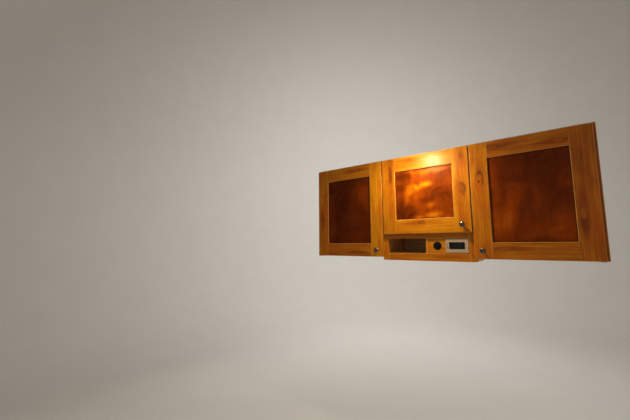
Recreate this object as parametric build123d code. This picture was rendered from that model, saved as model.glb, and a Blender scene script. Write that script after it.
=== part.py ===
from build123d import *
import math
import os

# Overhead cabinet of a teardrop trailer: three framed doors over two side compartments, a
# shorter middle one, and an open cubby with a small control panel below the middle door.
# Millimetres. +X is to the right seen from the front, the doors face -Y and +Z is up.
# The origin is the centre of the four wall bolts, on the cabinet's rear face.

# Doors
door_width = 484
door_gap = 6
full_door_height = 588
short_door_height = 453
door_thickness = 19
door_member_width = 82        # stiles and rails of a door
door_standoff = 2             # from the door's back to the face frame
panel_recess = 8              # from the door's front to its panel
panel_thickness = 6
panel_play = 0.1              # each side of the panel in its groove
groove_depth = 10
panel_edge_gap = 1.5          # from the panel's edge to the bottom of its groove
door_edge_round = 2
opening_bevel = 2             # eased edge round the panel

# Carcass
carcass_depth = 300           # from the wall to the front of the face frame
board_thickness = 12
housing_depth = 4             # how far a floor's ends are let into the boards beside it
back_thickness = 6
hanging_rail_thickness = 19
hanging_rail_height = 70
roof_skin_thickness = 5
roof_radius = 3200            # the roof line, seen from the side
roof_crest_ahead = 400        # from the doors' fronts forward to the roof's highest point
top_reveal = 4                # from the doors' tops up to the roof line at the face frame

# Face frame
frame_thickness = 19
stile_width = 33
door_overlay = 21             # how far a door laps the stile that carries its hinges
top_rail_drop = 40            # from the doors' tops down to the top rail's lower edge
side_rail_height = 33
cubby_rail_lap = 13           # how far the short door laps the rail above the cubby
cubby_rail_height = 40
cubby_height = 84
cubby_bottom_rail_height = 42

# Control panel in the cubby
divider_thickness = 9
divider_from_middle = 0       # from the cabinet's middle right to the divider
control_panel_thickness = 9
control_panel_recess = 3
control_fit = 0.3             # round what sits in the control panel
outlet_from_divider = 53
outlet_flange_radius = 22
outlet_body_radius = 15
outlet_bore_radius = 10.5
outlet_depth = 42
flange_thickness = 2.5
flange_bevel = 1.2
cap_lip = 5                   # from the outlet's bore to the cap's rim
cap_thickness = 3
cap_plug_length = 6
display_width = 112
display_height = 74
display_from_stile = 3
display_plate_thickness = 4
display_bevel = 1.5
display_flange = 5            # from the display's housing to the edge of its plate
display_depth = 24
display_corner = 4
screen_thickness = 3
screen_sunk = 2               # from the plate's face to the screen's
screen_width = 78
screen_height = 37

# Pivot hinges, at the top and bottom edge of each door
pivot_from_edge = 5
pivot_from_front = 6
pin_radius = 2.5
pin_play = 0.05
leaf_length = 60
leaf_width = 8
leaf_thickness = 3
bracket_thickness = 2
bracket_width = 18
bracket_height = 60
bracket_inset = 1             # from the door's edge to the bracket
bracket_heel = 4              # the ear's full width, forward of the face frame
bracket_gap = 0.8             # from the door's end to the bracket
boss_play = 0.1
mortise_play = 0.1
ear_relief = 2                # beyond the ear, so that the bracket tips into its mortise

# Knobs, catches and bumpers
knob_radius = 14
knob_length = 25
knob_crown = 5                # height of the knob's domed face
knob_rim = 2.5                # width of the rim below the dome
knob_neck_radius = 5
knob_neck_length = 5
knob_foot_radius = 8
knob_foot_height = 2
knob_foot_cove = 3            # from the foot up to the neck
knob_screw_radius = 2
knob_screw_play = 0.3
knob_screw_grip = 12
knob_screw_tip_gap = 1        # from the screw's tip to the end of its hole
screw_head_radius = 4.5
screw_head_height = 2.5
screw_head_play = 1
screw_seat_depth = 3.5
catch_radius = 5
catch_depth = 10
catch_from_free_edge = 41
catch_above_bottom = 6.5
catch_gap = 0.4               # between the magnet and its strike
strike_radius = 6
strike_thickness = 1
bumper_radius = 4
bumper_gap = 0.3              # between a bumper and the face frame
bumper_from_free_edge = 15

# Wall bolts
bolt_hole_radius = 3.5
bolt_from_end = 144
bolt_above_floor = 25
bolt_below_roof = 40
bolt_step = 10                # the rows are a whole number of these apart

# Cuts
cut_past = 1                  # how far a cut runs beyond what it goes through
blank_margin = 50             # how far a board is drawn past the roof line before it is cut to it

# Places along X, from the middle of the cabinet
middle_door_edge = door_width / 2
outer_door_edge = middle_door_edge + door_gap + door_width
stile_outer = middle_door_edge - door_overlay + stile_width
stile_inner = middle_door_edge - door_overlay
half_width = outer_door_edge - door_overlay + stile_width
end_stile_inner = outer_door_edge - door_overlay
partition_middle = (stile_outer + stile_inner) / 2
partition_inner = partition_middle - board_thickness / 2
partition_outer = partition_middle + board_thickness / 2
end_inner = half_width - board_thickness

# Places along Y, from the wall
frame_front = -carcass_depth
frame_back = frame_front + frame_thickness
back_panel_rear = -hanging_rail_thickness
back_panel_front = back_panel_rear - back_thickness
door_back = frame_front - door_standoff
door_front = door_back - door_thickness


def roof_sag(y):
    """How far the roof line at y lies below its highest point."""
    return roof_radius - math.sqrt(roof_radius**2 - (y - door_front + roof_crest_ahead) ** 2)


# Places along Z: the doors' tops first, then all else from them
rear_roof_drop = roof_sag(0) - roof_sag(frame_front) - top_reveal
lower_bolt_drop = full_door_height - side_rail_height - bolt_above_floor
highest_bolt_drop = rear_roof_drop + bolt_below_roof
bolt_spacing_z = bolt_step * math.floor((lower_bolt_drop - highest_bolt_drop) / bolt_step)
bolt_spacing_x = 2 * (half_width - bolt_from_end)
door_top = lower_bolt_drop - bolt_spacing_z / 2
crest = door_top + top_reveal + roof_sag(frame_front)
side_bottom = door_top - full_door_height
side_floor_top = side_bottom + side_rail_height
top_rail_bottom = door_top - top_rail_drop
short_door_bottom = door_top - short_door_height
cubby_rail_top = short_door_bottom + cubby_rail_lap
cubby_opening_top = cubby_rail_top - cubby_rail_height
cubby_floor_top = cubby_opening_top - cubby_height
middle_bottom = cubby_floor_top - cubby_bottom_rail_height
above_roof = crest + blank_margin


def block(x, y, z):
    """A box between two values on each axis, given in either order."""
    spans = [sorted(pair) for pair in (x, y, z)]
    size = [high - low for low, high in spans]
    return Pos(*[(low + high) / 2 for low, high in spans]) * Box(*size)


def rod(radius, start, length, direction=(0, 1, 0)):
    """A round bar from a point along a direction."""
    return extrude(Plane(origin=start, z_dir=direction) * Circle(radius), length)


def roof_profile(radius, front, rear, below):
    """The side view of what lies between the roof's arc and a depth below its crest."""
    centre_y = door_front - roof_crest_ahead
    centre_z = crest - roof_radius
    middle = (front + rear) / 2
    points = [(y, centre_z + math.sqrt(radius**2 - (y - centre_y) ** 2)) for y in (front, middle, rear)]
    edges = [ThreePointArc(*points)]
    edges += [Line(points[2], (rear, below)), Line((rear, below), (front, below))]
    edges += [Line((front, below), points[0])]
    return make_face(edges)


def under_roof(shape):
    """A shape cut off at the roof line."""
    below = middle_bottom - blank_margin
    profile = Plane.YZ * roof_profile(roof_radius, frame_front - cut_past, cut_past, below)
    return shape & extrude(profile, half_width + cut_past, both=True)


def make_carcass():
    """Plywood boards, back, hanging rails and the roof skin."""
    depth = (frame_back, back_panel_front)
    floors = {}
    bays = [  # name, lower x, upper x, top
        ("left_compartment_floor", -end_inner, -partition_outer, side_floor_top),
        ("middle_compartment_floor", -partition_inner, partition_inner, cubby_rail_top),
        ("right_compartment_floor", partition_outer, end_inner, side_floor_top),
        ("cubby_floor", -partition_inner, partition_inner, cubby_floor_top),
    ]
    for name, low, high, top in bays:
        across = (low - housing_depth, high + housing_depth)
        floors[name] = block(across, depth, (top - board_thickness, top))

    nodes = dict(floors)
    housings = list(floors.values())
    for name, side in (("left", -1), ("right", 1)):
        end = block((side * end_inner, side * half_width), (frame_back, 0), (side_bottom, above_roof))
        wall_x = (side * partition_inner, side * partition_outer)
        wall = block(wall_x, depth, (middle_bottom, above_roof))
        nodes[f"{name}_end_panel"] = under_roof(end) - housings
        nodes[f"{name}_partition"] = under_roof(wall) - housings

    back_bottom = cubby_floor_top - board_thickness
    across = (-end_inner, end_inner)
    back = block(across, (back_panel_front, back_panel_rear), (back_bottom, above_roof))
    half_rail = hanging_rail_height / 2
    lower_bolts = -bolt_spacing_z / 2
    upper_bolts = bolt_spacing_z / 2
    upper_rail = block(across, (back_panel_rear, 0), (upper_bolts - half_rail, above_roof))
    lower_rail = block(across, (back_panel_rear, 0), (lower_bolts - half_rail, lower_bolts + half_rail))
    bolt_holes = [
        rod(bolt_hole_radius, (x, back_panel_front - cut_past, z), 2 * cut_past - back_panel_front)
        for x in (-bolt_spacing_x / 2, bolt_spacing_x / 2)
        for z in (lower_bolts, upper_bolts)
    ]
    nodes["back_panel"] = under_roof(back) - bolt_holes
    nodes["upper_hanging_rail"] = under_roof(upper_rail) - bolt_holes
    nodes["lower_hanging_rail"] = lower_rail - bolt_holes

    above = roof_profile(roof_radius + roof_skin_thickness, frame_front, 0, side_bottom)
    below = roof_profile(roof_radius, frame_front - cut_past, cut_past, side_bottom - cut_past)
    nodes["roof_skin"] = extrude(Plane.YZ * (above - below), half_width, both=True)
    return nodes


def make_face_frame():
    """Solid wood stiles and rails across the front of the carcass."""
    nodes = {}
    depth = (frame_front, frame_back)
    stiles = [  # name, inner x, outer x, bottom, top
        ("end", end_stile_inner, half_width, side_bottom, above_roof),
        ("middle", stile_inner, stile_outer, middle_bottom, top_rail_bottom),
    ]
    for name, inner, outer, bottom, top in stiles:
        for hand, side in (("left", -1), ("right", 1)):
            stile = block((side * inner, side * outer), depth, (bottom, top))
            nodes[f"{hand}_{name}_stile"] = under_roof(stile)
    rails = [  # name, lower x, upper x, bottom, top
        ("frame_top_rail", -end_stile_inner, end_stile_inner, top_rail_bottom, above_roof),
        ("left_bottom_rail", -end_stile_inner, -stile_outer, side_bottom, side_floor_top),
        ("right_bottom_rail", stile_outer, end_stile_inner, side_bottom, side_floor_top),
        ("cubby_top_rail", -stile_inner, stile_inner, cubby_opening_top, cubby_rail_top),
        ("cubby_bottom_rail", -stile_inner, stile_inner, middle_bottom, cubby_floor_top),
    ]
    for name, low, high, bottom, top in rails:
        nodes[name] = under_roof(block((low, high), depth, (bottom, top)))
    return nodes


def make_controls():
    """The cubby's divider and the panel with a power outlet and a display."""
    nodes = {}
    divider_right = divider_from_middle + divider_thickness
    divider = block(
        (divider_from_middle, divider_right),
        (frame_front, back_panel_front),
        (cubby_floor_top, cubby_rail_top - board_thickness),
    )
    notch_depth = (frame_front - cut_past, frame_back)
    notch = block((-half_width, half_width), notch_depth, (cubby_opening_top, cubby_rail_top))
    nodes["cubby_divider"] = divider - notch

    panel_front = frame_front + control_panel_recess
    panel_back = panel_front + control_panel_thickness
    panel = block(
        (divider_right, stile_inner), (panel_front, panel_back), (cubby_floor_top, cubby_opening_top)
    )
    outlet_x = divider_right + outlet_from_divider
    display_x = stile_inner - display_from_stile - display_width / 2
    row_z = (cubby_floor_top + cubby_opening_top) / 2
    hole_start = panel_front - cut_past
    outlet_hole = rod(outlet_body_radius + control_fit, (outlet_x, hole_start, row_z), outlet_depth)
    body_width = display_width - 2 * display_flange
    body_height = display_height - 2 * display_flange
    display_hole = block(
        (display_x - body_width / 2 - control_fit, display_x + body_width / 2 + control_fit),
        (hole_start, panel_back + cut_past),
        (row_z - body_height / 2 - control_fit, row_z + body_height / 2 + control_fit),
    )
    nodes["control_panel"] = panel - outlet_hole - display_hole

    face = panel_front - flange_thickness
    flange = rod(outlet_flange_radius, (outlet_x, face, row_z), flange_thickness)
    flange = chamfer(flange.edges().group_by(Axis.Y)[0], flange_bevel)
    barrel = rod(outlet_body_radius, (outlet_x, panel_front, row_z), outlet_depth)
    bore = rod(outlet_bore_radius, (outlet_x, face - cut_past, row_z), outlet_depth)
    nodes["outlet_body"] = flange + barrel - bore
    cap_plug = rod(outlet_bore_radius - pin_play, (outlet_x, face, row_z), cap_plug_length)
    cap_head = rod(outlet_bore_radius + cap_lip, (outlet_x, face - cap_thickness, row_z), cap_thickness)
    cap_head = chamfer(cap_head.edges().group_by(Axis.Y)[0], flange_bevel)
    nodes["outlet_cap"] = cap_head + cap_plug

    plate_plane = Plane(origin=(display_x, panel_front, row_z), z_dir=(0, -1, 0), x_dir=(1, 0, 0))
    outline = RectangleRounded(display_width, display_height, display_corner)
    plate = extrude(plate_plane * outline, display_plate_thickness)
    plate = chamfer(plate.edges().group_by(Axis.Y)[0], display_bevel)
    housing = block(
        (display_x - body_width / 2, display_x + body_width / 2),
        (panel_front, panel_front + display_depth),
        (row_z - body_height / 2, row_z + body_height / 2),
    )
    screen_back = display_plate_thickness - screen_sunk - screen_thickness
    glass = plate_plane.offset(screen_back) * Rectangle(screen_width, screen_height)
    window = extrude(glass, screen_thickness + screen_sunk + cut_past)
    nodes["display_bezel"] = plate + housing - window
    nodes["display_screen"] = extrude(glass, screen_thickness)
    return nodes


doors = [  # name, x of the hinged edge, direction from it to the free edge, height
    ("left", -outer_door_edge, 1, full_door_height),
    ("middle", -middle_door_edge, 1, short_door_height),
    ("right", outer_door_edge, -1, full_door_height),
]


def place(shape, hinge_x, direction):
    """Puts a piece drawn from the hinged edge, front face and top of a door where that door is."""
    if direction < 0:
        shape = mirror(shape, about=Plane.YZ)
    return Pos(hinge_x, door_front, door_top) * shape


def rounded_member(x, z, rounded_edges):
    """A door member with its outer front edges rounded; they are named by axis and place."""
    member = block(x, (0, door_thickness), z)
    chosen = [
        edge
        for edge in member.edges()
        if abs(edge.center().Y) < 0.01
        for axis, value in rounded_edges
        if abs((edge.center().X if axis == "x" else edge.center().Z) - value) < 0.01
    ]
    return fillet(chosen, door_edge_round)


def opening_frustum(height):
    """What the bevel round the panel takes off the door's frame."""
    width = door_width - 2 * door_member_width
    tall = height - 2 * door_member_width
    at_front = Plane(origin=(door_width / 2, 0, -height / 2), z_dir=(0, 1, 0), x_dir=(1, 0, 0))
    wide = at_front * Rectangle(width + 2 * opening_bevel, tall + 2 * opening_bevel)
    narrow = at_front.offset(opening_bevel) * Rectangle(width, tall)
    return loft([wide, narrow], ruled=True)


def make_door_frame(height):
    """Stiles with a groove, rails with a groove and stub tenons, and the panel between them."""
    pieces = {}
    groove = (panel_recess, panel_recess + panel_thickness)
    inner = door_member_width
    far = door_width - door_member_width
    frustum = opening_frustum(height)
    stiles = [  # name, outer x, inner x, bottom of the groove
        ("hinge_stile", 0, inner, inner - groove_depth),
        ("free_stile", door_width, far, far + groove_depth),
    ]
    for name, outer, edge, groove_bottom in stiles:
        stile = rounded_member((outer, edge), (-height, 0), [("x", outer), ("z", 0), ("z", -height)])
        slot = block((groove_bottom, edge), groove, (-height, 0))
        pieces[name] = stile - slot - frustum
    rails = [  # name, outer z, inner z, bottom of the groove
        ("top_rail", 0, -inner, -inner + groove_depth),
        ("bottom_rail", -height, -height + inner, -height + inner - groove_depth),
    ]
    for name, outer, edge, groove_bottom in rails:
        rail = rounded_member((inner, far), (outer, edge), [("z", outer)])
        tenons = block((inner - groove_depth, far + groove_depth), groove, (outer, groove_bottom))
        slot = block((inner, far), groove, (groove_bottom, edge))
        pieces[name] = rail - slot - frustum + tenons
    reach = groove_depth - panel_edge_gap
    pieces["panel"] = block(
        (inner - reach, far + reach),
        (groove[0] + panel_play, groove[1] - panel_play),
        (-inner + reach, -height + inner - reach),
    )
    return pieces


def make_knob(height):
    """A turned knob and the screw that holds it through the stile."""
    head = knob_radius
    rim = knob_length - knob_crown
    neck_start = knob_foot_height + knob_foot_cove
    corners = [  # radius, distance from the door
        (0, 0),
        (knob_foot_radius, 0),
        (knob_foot_radius, knob_foot_height),
        (knob_neck_radius, neck_start),
        (knob_neck_radius, neck_start + knob_neck_length),
        (head, rim - knob_rim),
        (head, rim),
    ]
    sphere = (head**2 + knob_crown**2) / (2 * knob_crown)
    mid_crown = knob_length - sphere + math.sqrt(sphere**2 - head**2 / 4)
    outline = [Line(a, b) for a, b in zip(corners, corners[1:])]
    outline += [ThreePointArc(corners[-1], (head / 2, mid_crown), (0, knob_length))]
    outline += [Line((0, knob_length), corners[0])]
    turned = revolve(make_face(outline), Axis.Y)
    x = door_width - door_member_width / 2
    z = -height + door_member_width / 2
    knob = Pos(x, 0, z) * mirror(turned, about=Plane.XZ)
    grip = knob_screw_grip
    knob -= rod(knob_screw_radius + pin_play, (x, -grip, z), grip + cut_past)
    seat = door_thickness - screw_seat_depth
    tip = knob_screw_tip_gap - grip
    shank = rod(knob_screw_radius, (x, tip, z), seat - tip + screw_head_height / 2)
    head_bar = rod(screw_head_radius, (x, seat, z), screw_head_height)
    bore = rod(knob_screw_radius + knob_screw_play, (x, -cut_past, z), door_thickness + 2 * cut_past)
    bore += rod(screw_head_radius + screw_head_play, (x, seat, z), screw_seat_depth + cut_past)
    return knob + (shank + head_bar), bore


def make_hinge(height):
    """The two pivot hinges of a door: its leaves, the frame's brackets and their mortises."""
    leaves, leaf_cuts, brackets, bracket_cuts = [], [], [], []
    frame_y = door_thickness + door_standoff
    for end, up in ((0, 1), (-height, -1)):
        leaf_y = (pivot_from_front - leaf_width / 2, pivot_from_front + leaf_width / 2)
        leaf = block((0, leaf_length), leaf_y, (end - up * leaf_thickness, end))
        pivot = (pivot_from_edge, pivot_from_front)
        axis_up = (0, 0, up)
        inside = end - up * (leaf_thickness + cut_past)
        eye_length = leaf_thickness + 2 * cut_past
        leaves.append(leaf - rod(pin_radius + pin_play, (*pivot, inside), eye_length, axis_up))
        leaf_y = (leaf_y[0] - mortise_play, leaf_y[1] + mortise_play)
        cut_z = (end - up * (leaf_thickness + mortise_play), end + up * cut_past)
        leaf_cuts.append(block((-cut_past, leaf_length + mortise_play), leaf_y, cut_z))

        near = end + up * bracket_gap
        far = near + up * bracket_thickness
        wing_x = (bracket_inset, bracket_inset + bracket_width)
        ear_foot = block(wing_x, (frame_y - bracket_heel, frame_y + bracket_thickness), (near, far))
        eye = rod(pivot_from_edge - bracket_inset, (*pivot, near), bracket_thickness, axis_up)
        outline = make_hull(
            [edge for solid in (ear_foot, eye) for edge in solid.faces().sort_by(Axis.Z)[0].edges()]
        )
        ear = extrude(outline, bracket_thickness, dir=(0, 0, 1))
        wing = block(
            wing_x, (frame_y, frame_y + bracket_thickness), (far, end - up * bracket_height)
        )
        boss_height = bracket_gap - boss_play
        boss = rod(pivot_from_edge - bracket_inset, (*pivot, near - up * boss_height), boss_height, axis_up)
        pin_length = bracket_thickness + bracket_gap + leaf_thickness - pin_play
        pin = rod(pin_radius, (*pivot, far - up * pin_length), pin_length, axis_up)
        brackets.append(ear + wing + boss + pin)
        cut_x = (wing_x[0] - mortise_play, wing_x[1] + mortise_play)
        cut_y = (frame_y - cut_past, frame_y + bracket_thickness + mortise_play)
        cut_z = (far + up * ear_relief, end - up * (bracket_height + mortise_play))
        bracket_cuts.append(block(cut_x, cut_y, cut_z))
    return leaves, leaf_cuts, brackets, bracket_cuts


def make_catch(height):
    """A magnet let into the frame with its strike on the door, and the door's two bumpers."""
    frame_y = door_thickness + door_standoff
    x = door_width - catch_from_free_edge
    z = -height + catch_above_bottom
    proud = door_standoff - strike_thickness - catch_gap
    magnet = rod(catch_radius, (x, frame_y - proud, z), catch_depth)
    seat_depth = catch_depth - proud
    seat = rod(catch_radius + pin_play, (x, frame_y - cut_past, z), seat_depth + cut_past)
    strike = rod(strike_radius, (x, door_thickness, z), strike_thickness)
    bumper_x = door_width - bumper_from_free_edge
    bumpers = [
        rod(bumper_radius, (bumper_x, door_thickness, bumper_z), door_standoff - bumper_gap)
        for bumper_z in (-catch_above_bottom, z)
    ]
    return magnet, seat, strike, bumpers


carried_by = {  # the face frame's members that each door's fittings are let into
    "left": {"brackets": ["left_end_stile"], "magnet": "left_bottom_rail"},
    "middle": {"brackets": ["left_middle_stile", "frame_top_rail"], "magnet": "cubby_top_rail"},
    "right": {"brackets": ["right_end_stile"], "magnet": "right_bottom_rail"},
}


def together(shapes):
    """Separate solids that share a node."""
    return Compound(children=[solid for shape in shapes for solid in shape.solids()])


def make_all():
    """Every node of the cabinet by name."""
    nodes = make_carcass() | make_face_frame() | make_controls()
    magnets = []
    for name, hinge_x, direction, height in doors:
        pieces = make_door_frame(height)
        knob, knob_bore = make_knob(height)
        leaves, leaf_cuts, brackets, bracket_cuts = make_hinge(height)
        magnet, magnet_seat, strike, bumpers = make_catch(height)
        pieces["hinge_stile"] -= leaf_cuts
        pieces["free_stile"] -= knob_bore
        pieces["knob"] = together([knob])
        pieces["hinge_leaves"] = together(leaves)
        pieces["strike"] = strike
        pieces["bumpers"] = together(bumpers)
        for piece, shape in pieces.items():
            nodes[f"{name}_door_{piece}"] = place(shape, hinge_x, direction)
        nodes[f"{name}_hinge_brackets"] = place(together(brackets), hinge_x, direction)
        magnets.append(place(magnet, hinge_x, direction))

        cuts = [place(cut, hinge_x, direction) for cut in bracket_cuts]
        seat = place(magnet_seat, hinge_x, direction)
        for member in carried_by[name]["brackets"]:
            nodes[member] -= cuts
        nodes[carried_by[name]["magnet"]] -= seat
    nodes["catch_magnets"] = together(magnets)
    return nodes


if __name__ == "__main__":
    os.makedirs("parts", exist_ok=True)
    for node, shape in make_all().items():
        export_step(shape, f"parts/{node}.step")
    print(f"door top {door_top:.2f}, side floor top {side_floor_top:.2f}, width {2 * half_width:.2f}")
    print(f"bolt spacing {bolt_spacing_x:.2f} x {bolt_spacing_z:.2f}, door front {door_front:.2f}")
    print(f"pivots at x {outer_door_edge - pivot_from_edge:.2f} and {middle_door_edge - pivot_from_edge:.2f}")
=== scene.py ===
import math
import random

import bmesh
import bpy
from mathutils import Matrix, Vector


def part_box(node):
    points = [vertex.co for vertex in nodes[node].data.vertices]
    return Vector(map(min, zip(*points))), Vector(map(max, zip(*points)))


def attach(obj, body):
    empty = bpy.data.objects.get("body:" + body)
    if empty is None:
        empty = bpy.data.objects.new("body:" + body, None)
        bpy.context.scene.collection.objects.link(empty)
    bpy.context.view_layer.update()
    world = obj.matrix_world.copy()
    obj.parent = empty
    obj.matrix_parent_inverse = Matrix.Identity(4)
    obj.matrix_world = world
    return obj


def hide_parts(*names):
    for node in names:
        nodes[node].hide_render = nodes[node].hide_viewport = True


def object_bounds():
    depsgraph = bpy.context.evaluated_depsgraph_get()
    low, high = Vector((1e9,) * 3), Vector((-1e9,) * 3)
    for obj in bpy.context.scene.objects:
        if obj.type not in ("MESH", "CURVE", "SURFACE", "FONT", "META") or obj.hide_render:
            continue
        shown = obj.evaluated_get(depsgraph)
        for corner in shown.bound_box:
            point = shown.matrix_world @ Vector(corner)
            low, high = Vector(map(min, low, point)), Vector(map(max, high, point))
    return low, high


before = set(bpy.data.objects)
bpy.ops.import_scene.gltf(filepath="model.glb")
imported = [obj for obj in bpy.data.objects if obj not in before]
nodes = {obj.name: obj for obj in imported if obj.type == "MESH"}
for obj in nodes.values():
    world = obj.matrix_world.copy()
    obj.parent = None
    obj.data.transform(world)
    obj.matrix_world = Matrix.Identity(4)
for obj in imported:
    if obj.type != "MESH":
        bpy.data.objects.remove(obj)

# Overhead cabinet with three doors, in metres: +X right, the doors face -Y, +Z up.
cad_low, cad_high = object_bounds()
mm = 0.001
merge_distance = 0.001 * mm

# Places read from the frame
door_names = ("left", "middle", "right")
left_stile_low, left_stile_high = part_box("left_door_hinge_stile")
doors_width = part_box("right_door_hinge_stile")[1].x - left_stile_low.x
door_front = left_stile_low.y
frame_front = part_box("frame_top_rail")[0].y
back_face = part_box("back_panel")[1].y
wall_face = cad_high.y
upper_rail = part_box("upper_hanging_rail")
lower_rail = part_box("lower_hanging_rail")
partitions = (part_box("left_partition"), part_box("right_partition"))

# Camera, at the photograph's viewing angle
image_width = 630
focal_pixels = 304.06
sensor_width = 36
camera_from_corner = Vector((0.8822, -1.1695, -0.3507))   # in widths of the three doors
camera_yaw = 37.768
camera_pitch = 6.498
camera_roll = -0.2226

# Stage
floor_below_cabinet = 1.3
sweep_radius = 3.6
sweep_bend = 2.4
sweep_wall = 0.8


def colour(red, green, blue):
    """A colour given in 0 to 255 as it shows on a screen."""
    def linear(value):
        share = value / 255
        return share / 12.92 if share <= 0.04045 else ((share + 0.055) / 1.055) ** 2.4
    return (linear(red), linear(green), linear(blue), 1)


class Field:
    """A value or colour in a finish; arithmetic on it adds Math nodes."""

    def __init__(self, finish, socket):
        self.finish = finish
        self.socket = socket

    def __add__(self, other):
        return self.finish.math("ADD", self, other)

    __radd__ = __add__

    def __sub__(self, other):
        return self.finish.math("SUBTRACT", self, other)

    def __rsub__(self, other):
        return self.finish.math("SUBTRACT", other, self)

    def __mul__(self, other):
        return self.finish.math("MULTIPLY", self, other)

    __rmul__ = __mul__

    def __truediv__(self, other):
        return self.finish.math("DIVIDE", self, other)

    def __rtruediv__(self, other):
        return self.finish.math("DIVIDE", other, self)

    def __pow__(self, other):
        return self.finish.math("POWER", self, other)

    def __abs__(self):
        return self.finish.math("ABSOLUTE", self)


class Finish:
    """A material whose nodes are written as expressions."""

    def __init__(self, name):
        self.material = bpy.data.materials.new(name)
        self.material.use_nodes = True
        self.tree = self.material.node_tree
        self.tree.nodes.clear()

    def node(self, kind, settings=(), sockets=(), output=0):
        """One node: its settings first, then a value or a link for each socket by name or number."""
        made = self.tree.nodes.new(kind)
        for key, value in dict(settings).items():
            if key == "stops":
                elements = made.color_ramp.elements
                elements.remove(elements[1])
                elements[0].position, elements[0].color = value[0]
                for position, stop in value[1:]:
                    elements.new(position).color = stop
            else:
                setattr(made, key, value)
        for key, value in dict(sockets).items():
            if isinstance(value, Field):
                self.tree.links.new(value.socket, made.inputs[key])
            else:
                made.inputs[key].default_value = value
        return Field(self, made.outputs[output])

    def math(self, operation, *values):
        return self.node("ShaderNodeMath", {"operation": operation}, enumerate(values))

    def fraction(self, value):
        return self.math("FRACT", value)

    def lesser(self, a, b):
        return self.math("MINIMUM", a, b)

    def greater(self, a, b):
        return self.math("MAXIMUM", a, b)

    def split(self, vector):
        parts = self.node("ShaderNodeSeparateXYZ", sockets={0: vector}).socket.node
        return [Field(self, parts.outputs[i]) for i in range(3)]

    def place(self, coordinates="Object"):
        return self.split(self.node("ShaderNodeTexCoord", output=coordinates))

    def vector(self, x, y, z):
        return self.node("ShaderNodeCombineXYZ", sockets=enumerate((x, y, z)))

    def noise(self, x, y, z, detail=2, roughness=0.5):
        """Smooth noise from 0 to 1, about one patch to each unit of the three fields."""
        spot = self.vector(x, y, z)
        sockets = {"Vector": spot, "Scale": 1, "Detail": detail, "Roughness": roughness}
        return self.node("ShaderNodeTexNoise", sockets=sockets)

    def step(self, value, low, high):
        """0 below low, 1 above high and smooth between."""
        sockets = {"Value": value, "From Min": low, "From Max": high}
        return self.node("ShaderNodeMapRange", {"interpolation_type": "SMOOTHSTEP"}, sockets)

    def mix(self, factor, a, b):
        return self.node("ShaderNodeMix", {"data_type": "RGBA"}, {0: factor, 6: a, 7: b}, output=2)

    def ramp(self, value, *stops):
        return self.node("ShaderNodeValToRGB", {"stops": stops}, {0: value})

    def bump(self, height, depth):
        sockets = {"Height": height, "Distance": depth, "Strength": 1}
        return self.node("ShaderNodeBump", sockets=sockets)

    def surface(self, **sockets):
        """Ends the material; a socket's name is written with _ for each space."""
        named = {key.replace("_", " "): value for key, value in sockets.items()}
        shader = self.node("ShaderNodeBsdfPrincipled", sockets=named)
        output = self.tree.nodes.new("ShaderNodeOutputMaterial")
        self.tree.links.new(shader.socket, output.inputs["Surface"])
        return self.material


def edge_distance(finish, node, place):
    """How far a point on a board's face is from the nearest edge of the board's box."""
    low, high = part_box(node)
    gaps = []
    for field, a, b in zip(place, low, high):
        gaps.append((b - a) / 2 - abs(field - (a + b) / 2))
    nearer = finish.lesser(gaps[0], gaps[1])
    farther = finish.greater(gaps[0], gaps[1])
    return finish.greater(nearer, finish.lesser(farther, gaps[2]))


def slanted(finish):
    """1 on a rounded or bevelled face, 0 on one that lies square to an axis."""
    parts = [abs(part) for part in finish.place("Normal")]
    squarest = finish.greater(parts[0], finish.greater(parts[1], parts[2]))
    return 1 - finish.step(squarest, 0.93, 0.995)


# Solid wood: its tones run from the palest to the darkest, its blush is the red that the stain brings out,
# a knot has its pale wood, its dark wood and its marks, and the pale edge colour is wear and a painted
# highlight on bevels
stains = {
    "honey": {
        "tones": (colour(226, 154, 18), colour(202, 125, 5), colour(170, 90, 2), colour(118, 52, 1)),
        "blush": colour(186, 76, 4),
        "knot": (colour(190, 104, 14), colour(120, 48, 4), colour(66, 20, 3)),
        "wear_and_highlight": colour(240, 184, 104),
        "seam": colour(52, 22, 4),
        "rough": 0.36,
        "gloss": 0.20,
        "coat": 0.05,
    },
    "bare": {
        "tones": (
            colour(232, 205, 160), colour(218, 184, 134), colour(196, 156, 104), colour(160, 118, 70),
        ),
        "blush": colour(206, 158, 110),
        "knot": (colour(170, 118, 70), colour(126, 80, 42), colour(66, 36, 20)),
        "wear_and_highlight": colour(236, 214, 176),
        "seam": colour(90, 62, 36),
        "rough": 0.6,
        "gloss": 0.4,
        "coat": 0.0,
    },
}


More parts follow.
